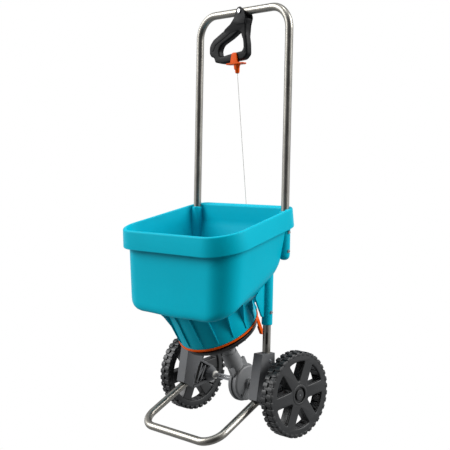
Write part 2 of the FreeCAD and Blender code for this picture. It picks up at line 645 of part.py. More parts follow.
def spinner_bridge():
    """Arm from the left bracket to the gearbox neck: carries the upper bush and stops the gearbox turning."""
    low, high = BRIDGE_S, BRIDGE_S + 16
    beam = box(-117.7, 10, -18, 10, low, high)
    pockets = [box(x0, x0 + 30, -15, 7, low - 1, high - 3) for x0 in (-112, -78)]
    plate = cyl(46.0, (0, 0, high - 4), (0, 0, high))
    boss = cyl(30.0, (0, 0, low), (0, 0, high + 2))
    body = fuse([beam.cut(pockets), plate, boss])
    for k in range(12):
        rib = box(28, 45, -1.5, 1.5, low + 4, high)
        rib.rotate(Vector(0, 0, 0), Z_AXIS, 30 * k)
        body = body.fuse(rib)
    cuts = [cyl(SHAFT_R + 4.05, (0, 0, low - 1), (0, 0, high + 3)),
            cyl(2.0, (-90, -4, low + 8), (-120, -4, low + 8))]
    for angle in GEARBOX_FLANGE_ANGLES:
        x, y = 22 * math.cos(math.radians(angle)), 22 * math.sin(math.radians(angle))
        cuts.append(cyl(1.6, (x, y, low - 1), (x, y, low + 10)))
    return spin_frame(body.removeSplitter().cut(cuts))


# --- gearbox and drive --------------------------------------------------------
GEARBOX_FLANGE_ANGLES = (20, 160, 200, 340)
SHELL_SCREW_ANGLES = (-165, -105, -45, 15)
SHELL_SCREW_R = 40.5
SEAM_X = 10.0              # where the two shells of the gearbox meet
PINION_R = GEAR_MODULE * PINION_TEETH / 2
CROWN_R = GEAR_MODULE * CROWN_TEETH / 2
PINION_LOW = CROWN_R - 4.5
PINION_HIGH = CROWN_R + 4.5


def drum_disc(radius, x0, x1, edge):
    """A disc square to X whose far rim is rounded off in two steps."""
    way = 1 if x1 > x0 else -1
    return fuse([cyl(radius, (x0, 0, 0), (x1 - way * edge, 0, 0)),
                 cone(radius, radius - edge * 0.3, (x1 - way * edge, 0, 0), (x1 - way * edge * 0.4, 0, 0)),
                 cone(radius - edge * 0.3, radius - edge, (x1 - way * edge * 0.4, 0, 0), (x1, 0, 0))])


def gearbox_solid():
    """The closed outside of the gearbox in the spinner frame."""
    left = drum_disc(GEARBOX_R, SEAM_X, -1, 3)
    right = drum_disc(GEARBOX_R - 3.5, SEAM_X, 27, 4)
    neck = cyl(21, (0, 0, 20), (0, 0, 84))
    upper = cone(24, 20, (0, 0, 62), (0, 0, 96))
    stem = cyl(17, (0, 0, 80), (0, 0, BRIDGE_S))
    flange = cyl(29, (0, 0, BRIDGE_S - 5), (0, 0, BRIDGE_S))
    hub_r = cone(15, 13, (27, 0, 0), (35, 0, 0))
    hub_l = cone(14, 12, (-1, 0, 0), (-9, 0, 0))
    lug = box(SEAM_X - 4, SEAM_X + 4, -30, 30, 30, 62)
    rib = box(26, 29, -6, 6, -44, -12)
    rib.rotate(Vector(0, 0, 0), X_AXIS, -57)
    return fuse([left, right, neck, upper, stem, flange, hub_r, hub_l, lug, rib])


def gearbox_space():
    drum = cyl(CROWN_R + 7.5, (2, 0, 0), (22, 0, 0))
    shaft = cyl(11.5, (0, 0, 18), (0, 0, 60))
    throat = cyl(SHAFT_R + 1.5, (0, 0, 50), (0, 0, BRIDGE_S + 1))
    seat = cyl(SHAFT_R + 4.05, (0, 0, 62), (0, 0, 78))
    axle = cyl(AXLE_R + 0.3, (-40, 0, 0), (40, 0, 0))
    recess = tube(11, AXLE_R + 2, (31, 0, 0), (36, 0, 0))
    return fuse([drum, shaft, throat, seat, axle]).fuse(recess)


def gearbox_shell(side):
    body = gearbox_solid().cut(gearbox_space())
    keep = box(SEAM_X, 60, -70, 70, -70, 150) if side > 0 else box(-60, SEAM_X, -70, 70, -70, 150)
    half = body.common(keep)
    cuts = []
    for angle in SHELL_SCREW_ANGLES:
        y = SHELL_SCREW_R * math.cos(math.radians(angle))
        z = SHELL_SCREW_R * math.sin(math.radians(angle))
        cuts.append(cyl(1.6, (1, y, z), (28, y, z)))
        cuts.append(cyl(3.4, (23, y, z), (28, y, z)))
    for angle in GEARBOX_FLANGE_ANGLES:
        x, y = 22 * math.cos(math.radians(angle)), 22 * math.sin(math.radians(angle))
        cuts.append(cyl(1.6, (x, y, BRIDGE_S - 8), (x, y, BRIDGE_S + 1)))
        cuts.append(cyl(3.6, (x, y, BRIDGE_S - 16), (x, y, BRIDGE_S - 5)))
    return spin_frame(half.cut(cuts).removeSplitter())


def gearbox_screws():
    screws = []
    for angle in SHELL_SCREW_ANGLES:
        y = SHELL_SCREW_R * math.cos(math.radians(angle))
        z = SHELL_SCREW_R * math.sin(math.radians(angle))
        screws.append(spin_frame(pan_screw((23, y, z), (1, 0, 0), 20, 1.5, 3.0, 2.2)))
    return Part.makeCompound(screws)


def crown_gear():
    """Face gear on the axle; its teeth point at the pinion."""
    tip_x = PINION_R - 0.9 * GEAR_MODULE
    root_x = PINION_R + 1.05 * GEAR_MODULE
    disc = cyl(CROWN_R + 5, (root_x, 0, 0), (root_x + 2.4, 0, 0))
    hub = cyl(12, (root_x, 0, 0), (21.5, 0, 0))
    teeth = []
    pitch = 360.0 / CROWN_TEETH
    for k in range(CROWN_TEETH):
        tooth = []
        for radius in (CROWN_R - 4.5, CROWN_R + 4.5):
            root_half = math.radians(pitch) * radius * 0.24
            tip_half = math.radians(pitch) * radius * 0.10
            tooth.append(Part.makePolygon([Vector(root_x + 0.2, -root_half, radius),
                                           Vector(root_x + 0.2, root_half, radius),
                                           Vector(tip_x, tip_half, radius),
                                           Vector(tip_x, -tip_half, radius),
                                           Vector(root_x + 0.2, -root_half, radius)]))
        solid = Part.makeLoft(tooth, True, True)
        solid.rotate(Vector(0, 0, 0), X_AXIS, pitch * k)
        teeth.append(solid)
    body = fuse([disc, hub] + teeth)
    return spin_frame(body.cut(cyl(AXLE_R, (-40, 0, 0), (40, 0, 0))))


def pinion():
    """Spur pinion on the lower end of the spinner shaft, in mesh with a gap of the crown gear."""
    root = cyl(PINION_R - 1.1 * GEAR_MODULE, (0, 0, PINION_LOW), (0, 0, PINION_HIGH))
    pitch = 360.0 / PINION_TEETH
    teeth = []
    for k in range(PINION_TEETH):
        half_root = 1.05
        half_tip = 0.36
        r0 = PINION_R - 1.3 * GEAR_MODULE
        r1 = PINION_R + 0.85 * GEAR_MODULE
        points = [Vector(-r0, -half_root, PINION_LOW), Vector(-r0, half_root, PINION_LOW),
                  Vector(-r1, half_tip, PINION_LOW), Vector(-r1, -half_tip, PINION_LOW)]
        tooth = Part.Face(Part.makePolygon(points + [points[0]])).extrude(
            Vector(0, 0, PINION_HIGH - PINION_LOW))
        tooth.rotate(Vector(0, 0, 0), Z_AXIS, pitch * (k + 0.5))
        teeth.append(tooth)
    hub = cyl(6.5, (0, 0, PINION_HIGH), (0, 0, PINION_HIGH + 8))
    body = fuse([root, hub] + teeth)
    return spin_frame(body.cut(cyl(SHAFT_R, (0, 0, PINION_LOW - 1), (0, 0, PINION_HIGH + 9))))


def spinner_shaft():
    body = cyl(SHAFT_R, (0, 0, PINION_LOW), (0, 0, 222))
    return spin_frame(body)


def shaft_bush(low, length):
    """Plain flanged bush round the spinner shaft."""
    body = tube(SHAFT_R + 4, SHAFT_R + RUN_FIT, (0, 0, low), (0, 0, low + length))
    return spin_frame(body)


def floor_seal():
    low = NECK_FLOOR_S - 1.5
    body = tube(9.0, SHAFT_R + RUN_FIT, (0, 0, 179), (0, 0, NECK_FLOOR_S + 3))
    lip = tube(12.0, SHAFT_R + RUN_FIT, (0, 0, NECK_FLOOR_S + 3.1), (0, 0, NECK_FLOOR_S + 5.5))
    link = tube(9.0, SHAFT_R + RUN_FIT, (0, 0, low), (0, 0, NECK_FLOOR_S + 5))
    return spin_frame(fuse([body, lip, link]))


def agitator():
    """Cross bar with two upturned fingers on the top of the shaft, inside the neck."""
    hub = cyl(9, (0, 0, 192), (0, 0, 214))
    arms = []
    for side in (-1, 1):
        arms.append(cyl(3, (0, 0, 200), (side * 46, 0, 200)))
        arms.append(Part.makeSphere(3, Vector(side * 46, 0, 200)))
        arms.append(cyl(3, (side * 46, 0, 200), (side * 46, 0, 220)))
    body = fuse([hub] + arms)
    return spin_frame(body.cut(cyl(SHAFT_R, (0, 0, 190), (0, 0, 216))))


def hex_nut(across_r, low, high):
    corners = [Vector(across_r * math.cos(math.radians(60 * k)), across_r * math.sin(math.radians(60 * k)), low)
               for k in range(7)]
    body = Part.Face(Part.makePolygon(corners)).extrude(Vector(0, 0, high - low))
    return body.cut(cyl(SHAFT_R, (0, 0, low - 1), (0, 0, high + 1)))


def spinner_nut():
    return spin_frame(hex_nut(8.0, 171.2, 177.0))


def agitator_nut():
    return spin_frame(hex_nut(7.5, 214.2, 219.5))


def spinner_disc():
    """Shallow dish with a raised edge, curved vanes and a hub pinned to the shaft."""
    s = SPINNER_S
    profile = [Vector(SHAFT_R, 0, s - 10), Vector(14, 0, s - 10), Vector(14, 0, s), Vector(84, 0, s + 3),
               Vector(SPINNER_R, 0, s + 8), Vector(SPINNER_R, 0, s + 12), Vector(SPINNER_R - 3, 0, s + 12),
               Vector(82, 0, s + 6), Vector(15, 0, s + 3), Vector(12, 0, s + 21), Vector(SHAFT_R, 0, s + 21)]
    dish = Part.Face(Part.makePolygon(profile + [profile[0]])).revolve(Vector(0, 0, 0), Z_AXIS, 360)
    vanes = []
    for k in range(8):
        outer = cyl(70, (0, 70, s + 3), (0, 70, s + 20))
        inner = cyl(67.5, (0, 70, s + 2), (0, 70, s + 21))
        vane = outer.cut(inner).common(box(6, 90, -10, 62, s, s + 30))
        vane = vane.common(cyl(SPINNER_R - 5, (0, 0, s), (0, 0, s + 30)))
        vane.rotate(Vector(0, 0, 0), Z_AXIS, 45 * k)
        vanes.append(vane)
    body = fuse([dish] + vanes)
    body = body.cut(cyl(SHAFT_R, (0, 0, s - 20), (0, 0, s + 40)))
    return spin_frame(body)


# --- wheels -------------------------------------------------------------------
HUB_X = 156.0
HUB_R = 19.0
SPOKES = 6
SPOKE_HALF = 18.0          # the spokes are broad and flat
WINDOW_R = 83.0
WINDOW_TURN = 8.0          # degrees from upright to the first window
LUGS = 36


def wheel(bore):
    """Right-hand wheel: lugged tread, thick disc with six deep windows, and a hub."""
    face = WHEEL_FACE_X
    inner = face - TREAD_WIDTH
    tread = tube(WHEEL_R - 5, 84, (inner + 3, 0, 0), (face - 3, 0, 0)).fuse(
        cone(WHEEL_R - 5, WHEEL_R - 8, (face - 3, 0, 0), (face, 0, 0)).cut(cyl(84, (face - 3, 0, 0), (face, 0, 0))))
    disc = cyl(86, (face - 28, 0, 0), (face - 1.5, 0, 0))
    corner = 30 - math.degrees(math.asin(SPOKE_HALF / WINDOW_R))
    arc = [(WINDOW_R * math.sin(math.radians(corner * k / 2)), WINDOW_R * math.cos(math.radians(corner * k / 2)))
           for k in (2, 1, 0, -1, -2)]
    outline = [Vector(0, y, z) for y, z in [(0, SPOKE_HALF / math.sin(math.radians(30)))] + arc]
    cuts = []
    for k in range(SPOKES):
        window = Part.Face(Part.makePolygon(outline + [outline[0]])).extrude(Vector(60, 0, 0))
        window.translate(Vector(inner - 5, 0, 0))
        window.rotate(Vector(0, 0, 0), X_AXIS, 60 * k + WINDOW_TURN)
        cuts.append(window)
    hub = cyl(HUB_R, (HUB_X, 0, 0), (face - 6, 0, 0))
    collar = cyl(26, (face - 12, 0, 0), (face - 0.3, 0, 0)).cut(cyl(20, (face - 6, 0, 0), (face + 1, 0, 0)))
    boss = cyl(14, (face - 8, 0, 0), (face - 0.1, 0, 0))
    lugs = []
    for row in (0, 1):
        for k in range(LUGS):
            x0 = inner if row == 0 else inner + TREAD_WIDTH / 2 + 1
            lug = box(x0, x0 + TREAD_WIDTH / 2 - 1, -6.3, 6.3, WHEEL_R - 9, WHEEL_R + 2)
            lug.rotate(Vector(0, 0, 0), X_AXIS, 360.0 / LUGS * (k + 0.5 * row))
            lugs.append(lug)
    shell = tube(WHEEL_R, WHEEL_R - 8, (inner - 1, 0, 0), (face + 1, 0, 0))
    lug_group = lugs[0].multiFuse(lugs[1:]).common(shell)
    shape = fuse([disc, tread, lug_group]).cut(cuts)
    shape = fuse([shape, hub, collar, boss])
    shape = shape.cut([cyl(20, (face - 6, 0, 0), (face + 1, 0, 0)).cut(cyl(14, (face - 7, 0, 0), (face + 2, 0, 0))),
                       cyl(bore, (HUB_X - 1, 0, 0), (face + 1, 0, 0)),
                       cyl(10.6, (face - 7, 0, 0), (face + 1, 0, 0))])
    shape.translate(Vector(0, 0, AXLE_Z))
    return shape.removeSplitter()


def drive_wheel():
    body = wheel(AXLE_R)
    hole = cyl(2.0, (166, 0, AXLE_Z - 30), (166, 0, AXLE_Z + 30))
    return body.cut(hole)


def free_wheel():
    return wheel(AXLE_R + 2.0).mirror(Vector(0, 0, 0), X_AXIS)


def wheel_bush():
    a, b = -(WHEEL_FACE_X - 7.2), -(HUB_X + 0.2)
    return tube(AXLE_R + 2.0, AXLE_R + RUN_FIT, (a, 0, AXLE_Z), (b, 0, AXLE_Z))


def axle():
    end = WHEEL_FACE_X - 1.6
    body = cyl(AXLE_R, (-end, 0, AXLE_Z), (end, 0, AXLE_Z))
    return body.cut(cyl(2.0, (166, 0, AXLE_Z - 30), (166, 0, AXLE_Z + 30)))


def drive_pin():
    return cyl(2.0, (166, 0, AXLE_Z - 20.5), (166, 0, AXLE_Z + 20.5))


def wheel_washers():
    rings = []
    for side in (-1, 1):
        a, b = sorted((side * 154.3, side * 155.7))
        rings.append(tube(11.0, AXLE_R + 0.2, (a, 0, AXLE_Z), (b, 0, AXLE_Z)))
    return Part.makeCompound(rings)


def axle_caps():
    """Push-on caps that hold the wheels on the axle."""
    caps = []
    for side in (-1, 1):
        root = side * (WHEEL_FACE_X - 6.8)
        tip = side * (WHEEL_FACE_X - 0.1)
        cap = cyl(10.5, (root, 0, AXLE_Z), (tip, 0, AXLE_Z))
        cap = cap.cut(cyl(AXLE_R, (root - side, 0, AXLE_Z), (side * (WHEEL_FACE_X - 1.6), 0, AXLE_Z)))
        caps.append(cap.cut(cyl(1.8, (root, 0, AXLE_Z), (tip + side, 0, AXLE_Z))))
    return Part.makeCompound(caps)


# --- screws -------------------------------------------------------------------
def sleeve_screws():
    screws = []
    for side in (-1, 1):
        for z in UPPER_SCREW_Z:
            head = (side * (HANDLE_X + UPPER_SLEEVE_R), HANDLE_Y, z)
            screws.append(pan_screw(head, (side, 0, 0), 9))
        head = (side * (STAND_X + LOWER_SLEEVE_R), STAND_Y, LOWER_SCREW_Z)
        screws.append(pan_screw(head, (side, 0, 0), 9))
    return Part.makeCompound(screws)


def bracket_screws():
    screws = []
    for side in (-1, 1):
        for z in BRACKET_SCREW_Z:
            screws.append(pan_screw((side * BRACKET_X[1], STAND_Y, z), (side, 0, 0), 9))
    return Part.makeCompound(screws)


def flange_screws():
    screws = []
    for angle in GEARBOX_FLANGE_ANGLES:
        x, y = 22 * math.cos(math.radians(angle)), 22 * math.sin(math.radians(angle))
        screws.append(spin_frame(pan_screw((x, y, BRIDGE_S - 5), (0, 0, -1), 13, 1.5, 3.2, 2.2)))
    return Part.makeCompound(screws)


def main():
    os.makedirs("parts", exist_ok=True)
    save("handle_tube", handle_tube())
    save("stand_tube", stand_tube())
    save("hopper", hopper())
    save("outlet_ring", outlet_ring())
    save("shutter_plate", shutter_plate())
    save("shutter_lever", shutter_lever())
    save("lever_pin", lever_pin())
    save("lever_spring", lever_spring())
    save("cord_pin", cord_pin())
    save("pull_cord", pull_cord())
    save("cord_ball", cord_ball())
    save("cord_eye", cord_eye())
    save("trigger_grip", trigger_grip())
    save("trigger_bolt", trigger_bolt())
    save("trigger_nut", trigger_nut())
    save("cord_clip", cord_clip())
    save("left_bracket", bracket(-1))
    save("right_bracket", bracket(1))
    save("left_axle_bush", axle_bush(-1))
    save("right_axle_bush", axle_bush(1))
    save("spinner_bridge", spinner_bridge())
    save("gearbox_left_shell", gearbox_shell(-1))
    save("gearbox_right_shell", gearbox_shell(1))
    save("gearbox_screws", gearbox_screws())
    save("crown_gear", crown_gear())
    save("pinion", pinion())
    save("spinner_shaft", spinner_shaft())
    save("lower_shaft_bush", shaft_bush(62.2, 15.6))
    save("upper_shaft_bush", shaft_bush(BRIDGE_S + 0.2, 17))
    save("floor_seal", floor_seal())
    save("agitator", agitator())
    save("agitator_nut", agitator_nut())
    save("spinner_disc", spinner_disc())
    save("spinner_nut", spinner_nut())
    save("drive_wheel", drive_wheel())
    save("free_wheel", free_wheel())
    save("wheel_bush", wheel_bush())
    save("axle", axle())
    save("drive_pin", drive_pin())
    save("wheel_washers", wheel_washers())
    save("axle_caps", axle_caps())
    save("sleeve_screws", sleeve_screws())
    save("bracket_screws", bracket_screws())
    save("flange_screws", flange_screws())


main()
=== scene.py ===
"""Blender looks for the walk-behind broadcast spreader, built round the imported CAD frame."""
import bpy
import bmesh
import math
from mathutils import Matrix, Vector
from mathutils.geometry import tessellate_polygon


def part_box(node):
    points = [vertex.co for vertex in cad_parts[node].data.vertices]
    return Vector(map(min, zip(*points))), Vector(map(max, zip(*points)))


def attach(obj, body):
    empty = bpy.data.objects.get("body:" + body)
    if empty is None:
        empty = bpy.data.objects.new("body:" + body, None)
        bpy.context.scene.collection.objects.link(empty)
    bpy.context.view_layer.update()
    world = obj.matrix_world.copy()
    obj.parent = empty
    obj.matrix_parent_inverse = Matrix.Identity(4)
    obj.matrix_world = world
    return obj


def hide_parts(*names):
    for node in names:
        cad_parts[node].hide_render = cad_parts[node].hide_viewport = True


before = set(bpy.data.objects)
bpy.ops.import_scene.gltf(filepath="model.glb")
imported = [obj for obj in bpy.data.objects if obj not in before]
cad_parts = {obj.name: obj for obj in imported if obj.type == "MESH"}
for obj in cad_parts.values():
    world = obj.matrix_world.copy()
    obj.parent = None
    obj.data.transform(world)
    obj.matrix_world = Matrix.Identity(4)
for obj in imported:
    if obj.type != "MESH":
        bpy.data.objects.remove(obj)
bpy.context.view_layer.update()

# Geometry below is in millimetres with the axle at Y = 0, as a drawing of the part would be.
AXLE_Y = (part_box("axle")[0].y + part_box("axle")[1].y) / 2 * 1000
AXLE_Z = (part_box("axle")[0].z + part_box("axle")[1].z) / 2 * 1000
HANDLE_Y = -22.0
SPIN_TILT = 30.0
RIM_TILT = 14.1


def metres(p):
    """A drawing point in the frame's metres."""
    return Vector((p[0] / 1000, (p[1] + AXLE_Y) / 1000, p[2] / 1000))


def tilted(p, degrees):
    """A point given as (x, depth, height) on an axis that leans forward through the axle."""
    a = math.radians(degrees)
    return Vector((p[0], p[1] * math.cos(a) - p[2] * math.sin(a),
                   AXLE_Z + p[1] * math.sin(a) + p[2] * math.cos(a)))


def spin(p):
    """A point on the spinner's axis frame."""
    return tilted(p, SPIN_TILT)


def rim(p):
    """A point in the frame whose height runs square to the tub's rim."""
    return tilted(p, RIM_TILT)


# --- materials ----------------------------------------------------------------
def linear(r, g, b):
    """A screen colour (0-255) as the shader's linear colour."""
    out = []
    for c in (r, g, b):
        c /= 255
        out.append(c / 12.92 if c <= 0.04045 else ((c + 0.055) / 1.055) ** 2.4)
    return out + [1.0]


class Nodes:
    """A small builder for one material's node tree."""

    def __init__(self, name):
        self.material = bpy.data.materials.new(name)
        self.material.use_nodes = True
        self.tree = self.material.node_tree
        self.shader = self.tree.nodes["Principled BSDF"]
        self.coords = self.tree.nodes.new("ShaderNodeTexCoord").outputs["Object"]

    def link(self, a, b):
        self.tree.links.new(a, b)

    def noise(self, scale, detail=4.0, rough=0.55, stretch=None):
        node = self.tree.nodes.new("ShaderNodeTexNoise")
        node.inputs["Scale"].default_value = scale
        node.inputs["Detail"].default_value = detail
        node.inputs["Roughness"].default_value = rough
        source = self.coords
        if stretch:
            mapping = self.tree.nodes.new("ShaderNodeMapping")
            mapping.inputs["Scale"].default_value = stretch
            self.link(source, mapping.inputs["Vector"])
            source = mapping.outputs["Vector"]
        self.link(source, node.inputs["Vector"])
        return node.outputs["Fac"]

    def span(self, value, low, high, to_low, to_high):
        node = self.tree.nodes.new("ShaderNodeMapRange")
        for k, v in zip(("From Min", "From Max", "To Min", "To Max"), (low, high, to_low, to_high)):
            node.inputs[k].default_value = v
        self.link(value, node.inputs["Value"])
        return node.outputs["Result"]

    def math(self, kind, a, b):
        node = self.tree.nodes.new("ShaderNodeMath")
        node.operation = kind
        for index, value in enumerate((a, b)):
            if isinstance(value, (int, float)):
                node.inputs[index].default_value = value
            else:
                self.link(value, node.inputs[index])
        return node.outputs[0]

    def blend(self, factor, a, b):
        node = self.tree.nodes.new("ShaderNodeMix")
        node.data_type = "RGBA"
        self.link(factor, node.inputs["Factor"])
        for socket, value in ((node.inputs[6], a), (node.inputs[7], b)):
            if isinstance(value, (list, tuple)):
                socket.default_value = value
            else:
                self.link(value, socket)
        return node.outputs[2]

    def bump(self, height, strength, distance, under=None):
        node = self.tree.nodes.new("ShaderNodeBump")
        node.inputs["Strength"].default_value = strength
        node.inputs["Distance"].default_value = distance
        self.link(height, node.inputs["Height"])
        if under is not None:
            self.link(under, node.inputs["Normal"])
        return node.outputs["Normal"]

    def rounded(self, radius):
        """The surface direction with sharp edges eased, as moulded edges are."""
        bevel = self.tree.nodes.new("ShaderNodeBevel")
        bevel.samples = 6
        bevel.inputs["Radius"].default_value = radius
        return bevel.outputs["Normal"]

    def edges(self, radius=0.0012):
        """1 along sharp edges, where parts rub."""
        geometry = self.tree.nodes.new("ShaderNodeNewGeometry")
        dot = self.tree.nodes.new("ShaderNodeVectorMath")
        dot.operation = "DOT_PRODUCT"
        self.link(self.rounded(radius), dot.inputs[0])
        self.link(geometry.outputs["Normal"], dot.inputs[1])
        return self.span(dot.outputs["Value"], 0.985, 0.9, 0.0, 1.0)


def shade(colour, factor):
    """A colour made darker or lighter."""
    return [min(1.0, c * factor) for c in colour[:3]] + [1.0]


def plastic(name, colour, rough, grain=900, grain_depth=0.00006, wear=None, dust=None, vary=0.06, gloss=0.4):
    """Moulded plastic: faint mottling, fine spark-eroded grain, rubbed edges and a little dust."""
    n = Nodes(name)
    broad = n.span(n.noise(6.0, 3.0), 0.3, 0.7, 0.0, 1.0)
    colour_out = n.blend(broad, shade(colour, 1 - vary), shade(colour, 1 + vary))
    fleck = n.span(n.noise(140.0, 6.0, 0.7), 0.35, 0.75, 0.0, 0.35)
    colour_out = n.blend(fleck, colour_out, shade(colour, 0.9))
    if dust:
        film = n.span(n.noise(28.0, 8.0, 0.7), 0.5, 0.78, 0.0, 0.3)
        colour_out = n.blend(film, colour_out, dust)
    if wear:
        rubbed = n.math("MULTIPLY", n.edges(), n.span(n.noise(60.0, 5.0), 0.35, 0.65, 0.2, 0.8))
        colour_out = n.blend(rubbed, colour_out, wear)
    n.link(colour_out, n.shader.inputs["Base Color"])
    n.link(n.span(n.noise(35.0, 6.0, 0.65), 0.3, 0.7, rough - 0.06, rough + 0.08),
           n.shader.inputs["Roughness"])
    wave = n.bump(n.noise(14.0, 2.0), 0.25, 0.0006, n.rounded(0.0013))
    n.link(n.bump(n.noise(grain, 3.0, 0.6), 0.6, grain_depth, wave), n.shader.inputs["Normal"])
    n.shader.inputs["Specular IOR Level"].default_value = gloss
    return n.material


def metal(name, colour, rough, stretch, streaks=260.0, vary=0.08, smudge=0.1, depth=0.00004):
    """Drawn or turned metal: fine lines along the work, darker stains and soft smudges."""
    n = Nodes(name)
    lines = n.noise(streaks, 3.0, 0.6, stretch)
    tone = n.span(lines, 0.3, 0.7, 0.0, 1.0)
    colour_out = n.blend(tone, shade(colour, 1 - vary), shade(colour, 1 + vary))
    stain = n.span(n.noise(18.0, 6.0, 0.65), 0.52, 0.75, 0.0, 0.5)
    colour_out = n.blend(stain, colour_out, shade(colour, 0.72))
    n.link(colour_out, n.shader.inputs["Base Color"])
    n.shader.inputs["Metallic"].default_value = 1.0
    lined = n.span(lines, 0.3, 0.7, rough - 0.05, rough + 0.07)
    smudged = n.span(n.noise(24.0, 5.0), 0.4, 0.7, 0.0, smudge)
    n.link(n.math("ADD", lined, smudged), n.shader.inputs["Roughness"])
    n.link(n.bump(lines, 0.35, depth), n.shader.inputs["Normal"])
    return n.material


TEAL = linear(0, 170, 192)
ORANGE = linear(226, 84, 2)
MATERIALS = {
    "teal_plastic": plastic("teal_plastic", TEAL, 0.4, wear=linear(50, 185, 200), vary=0.04, gloss=0.05),
    "orange_plastic": plastic("orange_plastic", ORANGE, 0.38, wear=linear(245, 125, 60), vary=0.05,
                              gloss=0.08),
    "stainless_tube": metal("stainless_tube", linear(150, 147, 140), 0.33, (1.0, 1.0, 0.3), 60.0, 0.04, 0.05,
                            0.000004),
    "black_plastic": plastic("black_plastic", linear(34, 35, 37), 0.5, wear=linear(80, 82, 86),
                             dust=linear(70, 68, 64)),
    "grip_plastic": plastic("grip_plastic", linear(19, 19, 20), 0.46, 1400, wear=linear(52, 53, 56),
                            gloss=0.13),
    "grey_plastic": plastic("grey_plastic", linear(112, 113, 114), 0.48, wear=linear(150, 151, 152),
                            dust=linear(134, 131, 124)),
    "dark_grey_plastic": plastic("dark_grey_plastic", linear(88, 89, 91), 0.5, wear=linear(128, 130, 132),
                                 dust=linear(110, 108, 102)),
    "bush_plastic": plastic("bush_plastic", linear(205, 203, 196), 0.4, 1100),
    "steel": metal("steel", linear(168, 168, 170), 0.32, (1.0, 1.0, 0.1), 500.0),
    "bright_steel": metal("bright_steel", linear(205, 206, 208), 0.2, (0.05, 1.0, 1.0), 600.0),
    "brass": metal("brass", linear(196, 160, 92), 0.3, (1.0, 1.0, 0.1), 500.0),
    "cord_fibre": plastic("cord_fibre", linear(196, 192, 184), 0.6, 2400, 0.0001),
    "rubber": plastic("rubber", linear(23, 24, 25), 0.45, 1300, 0.00006, wear=linear(66, 66, 66),
                      dust=linear(46, 44, 41), gloss=0.5),
}


def paint_cad():
    """Every CAD node that stays gets the procedural material of its slot."""
    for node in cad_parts.values():
        for slot in node.material_slots:
            made = slot.material.name.split(".")[0] if slot.material else ""
            slot.material = MATERIALS[made]


paint_cad()


# --- mesh building ------------------------------------------------------------
def rounded_polygon(points, radii, steps=6):
    """Corners of a closed (u, v) polygon replaced by arcs."""
    if isinstance(radii, (int, float)):
        radii = [radii] * len(points)
    out = []
    count = len(points)
    for i in range(count):
        here = Vector(points[i])
        back = Vector(points[i - 1]) - here
        ahead = Vector(points[(i + 1) % count]) - here
        half = back.angle(ahead) / 2
        reach = min(radii[i] / math.tan(half), 0.48 * back.length, 0.48 * ahead.length)
        radius = reach * math.tan(half)
        start = here + back.normalized() * reach
        end = here + ahead.normalized() * reach
        middle = here + (back.normalized() + ahead.normalized()).normalized() * (radius / math.sin(half))
        a = start - middle
        turn = a.angle_signed(end - middle) if radius > 1e-6 else 0.0
        for k in range(steps + 1):
            t = -turn * k / steps
            out.append((middle.x + a.x * math.cos(t) - a.y * math.sin(t),
                        middle.y + a.x * math.sin(t) + a.y * math.cos(t)))
    return out


def inset(loop, amount):
    """A closed (u, v) loop moved along its normals, inwards where it runs counter-clockwise."""
    out = []
    count = len(loop)
    for i in range(count):
        p = Vector(loop[i])
        a = p - Vector(loop[i - 1])
        b = Vector(loop[(i + 1) % count]) - p
        if a.length < 1e-9:
            a = b
        if b.length < 1e-9:
            b = a
        a.normalize()
        b.normalize()
        na, nb = Vector((-a.y, a.x)), Vector((-b.y, b.x))
        n = (na + nb)
        n = n / max(0.4, 1 + na.dot(nb))
        out.append((p.x + n.x * amount, p.y + n.y * amount))
    return out


def circle(radius, count):
    return [(radius * math.cos(math.radians(360 / count * k)),
             radius * math.sin(math.radians(360 / count * k)))
            for k in range(count)]


def area_of(loop):
    """Signed area, positive where the loop runs counter-clockwise."""
    return sum(a[0] * b[1] - b[0] * a[1] for a, b in zip(loop, loop[1:] + loop[:1])) / 2


